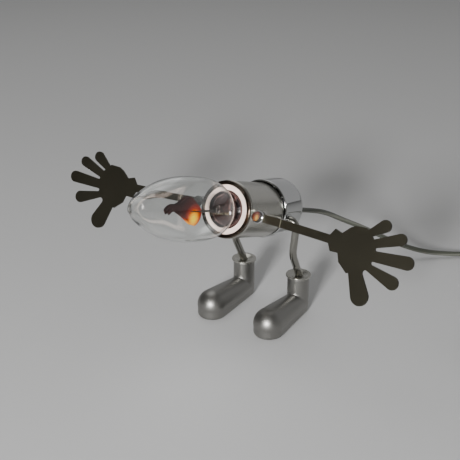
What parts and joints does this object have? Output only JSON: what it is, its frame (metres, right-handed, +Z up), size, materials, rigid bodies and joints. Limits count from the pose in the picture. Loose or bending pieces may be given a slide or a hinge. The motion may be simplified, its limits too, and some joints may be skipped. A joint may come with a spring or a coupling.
{
  "type": "robot shaped desk lamp",
  "caption": "Desk lamp shaped as a leaning robot: a lampholder as body, a flame bulb as head, sheet metal hands on turning arms, bent rod legs in round shoes, and a cord with switch and plug.",
  "frame": {"origin": "centre of the bottom of the lamp itself (without the cord), between the soles", "axes": "+Z up, the robot faces -Y, its left hand points to +X"},
  "size_m": [0.3719, 0.3489, 0.1399],
  "materials": {
    "satin_nickel": "satin plated steel",
    "dark_bezel": "polished dark plated steel",
    "polished_chrome": "polished",
    "hand_steel": "fine satin sheet",
    "shoe_metal": "satin plated casting",
    "zinc_steel": "zinc plated",
    "socket_brass": "plain",
    "ceramic": "glazed ceramic, opaque",
    "clear_glass": "clear",
    "stem_glass": "clear",
    "cap_nickel": "nickel plated",
    "black_glass": "gloss",
    "electrode": "dark, coated",
    "cord_pvc": "clear grey PVC sleeve",
    "black_plastic": "satin",
    "dark_plastic": "gloss",
    "pad_rubber": "matt",
    "core_brown": "insulation",
    "core_blue": "insulation"
  },
  "bodies": {
    "lampholder": {"bezel_ring": "dark_bezel", "holder_sleeve": "satin_nickel", "ceramic_insert": "ceramic", "screw_shell": "socket_brass", "centre_contact": "socket_brass", "line_terminal": "socket_brass", "neutral_terminal": "socket_brass", "terminal_screws": "zinc_steel", "core_bracket": "zinc_steel", "core_screws": "zinc_steel", "line_wire": "core_brown", "neutral_wire": "core_blue", "holder_cap": "satin_nickel", "entry_nipple": "zinc_steel", "nipple_spacer": "zinc_steel", "rear_cup": "polished_chrome", "seat_washer": "black_plastic", "gland_nut": "polished_chrome", "strain_relief": "black_plastic", "left_arm_lug": "satin_nickel", "right_arm_lug": "satin_nickel", "left_arm_screw": "polished_chrome", "right_arm_screw": "polished_chrome", "left_arm_washer": "zinc_steel", "right_arm_washer": "zinc_steel", "left_leg_bush": "polished_chrome", "right_leg_bush": "polished_chrome", "lamp_cord": "cord_pvc", "link_cord": "cord_pvc", "plug_cord": "cord_pvc", "cord_coil": "cord_pvc", "switch_base": "black_plastic", "switch_cover": "black_plastic", "switch_contacts": "socket_brass", "switch_screws": "zinc_steel", "plug_body": "black_plastic", "plug_pins": "zinc_steel"},
    "left_leg": {"left_leg_rod": "polished_chrome", "left_hip_nut": "zinc_steel", "left_shoe": "shoe_metal", "left_collar": "satin_nickel", "left_sole_pad": "pad_rubber"},
    "right_leg": {"right_leg_rod": "polished_chrome", "right_hip_nut": "zinc_steel", "right_shoe": "shoe_metal", "right_collar": "satin_nickel", "right_sole_pad": "pad_rubber"},
    "left_hand": {"left_arm": "hand_steel"},
    "right_hand": {"right_arm": "hand_steel"},
    "bulb": {"bulb_glass": "clear_glass", "bulb_cap": "cap_nickel", "bulb_stem": "stem_glass", "support_wires": "zinc_steel", "flame_plates": "electrode"},
    "bulb_foot": {"bulb_insulator": "black_glass", "bulb_contact": "zinc_steel"},
    "rocker": {"switch_rocker": "dark_plastic"}
  },
  "joints": [
    {"name": "left_hip", "type": "hinge", "parent": "lampholder", "child": "left_leg", "pos_m": [0, 0.05483, 0.07998], "axis": [1, 0, 0], "range_deg": [-30, 30]},
    {"name": "right_hip", "type": "hinge", "parent": "lampholder", "child": "right_leg", "pos_m": [0, 0.05483, 0.07998], "axis": [1, 0, 0], "range_deg": [-30, 30]},
    {"name": "left_shoulder", "type": "hinge", "parent": "lampholder", "child": "left_hand", "pos_m": [0.025, 0.0111, 0.09804], "axis": [0, -0.9444, 0.3289], "range_deg": [-60, 80]},
    {"name": "right_shoulder", "type": "hinge", "parent": "lampholder", "child": "right_hand", "pos_m": [-0.025, 0.0111, 0.09804], "axis": [0, 0.9444, -0.3289], "range_deg": [-60, 80]},
    {"name": "bulb_out", "type": "slide", "parent": "lampholder", "child": "bulb_foot", "axis": [0, -0.9444, 0.3289], "range_m": [0, 0.028]},
    {"name": "bulb_turn", "type": "hinge", "parent": "bulb_foot", "child": "bulb", "pos_m": [0, 0.006, 0.0995], "axis": [0, -0.9444, 0.3289], "range_deg": [0, 2700]},
    {"name": "rocker_tilt", "type": "hinge", "parent": "lampholder", "child": "rocker", "pos_m": [0.18712, 0.18414, 0.0106], "axis": [-0.9537, -0.3007, 0], "range_deg": [0, 16]}
  ],
  "couplings": [
    {"joint": "bulb_out", "follows": "bulb_turn", "m_per_rad": 0.00057614}
  ]
}
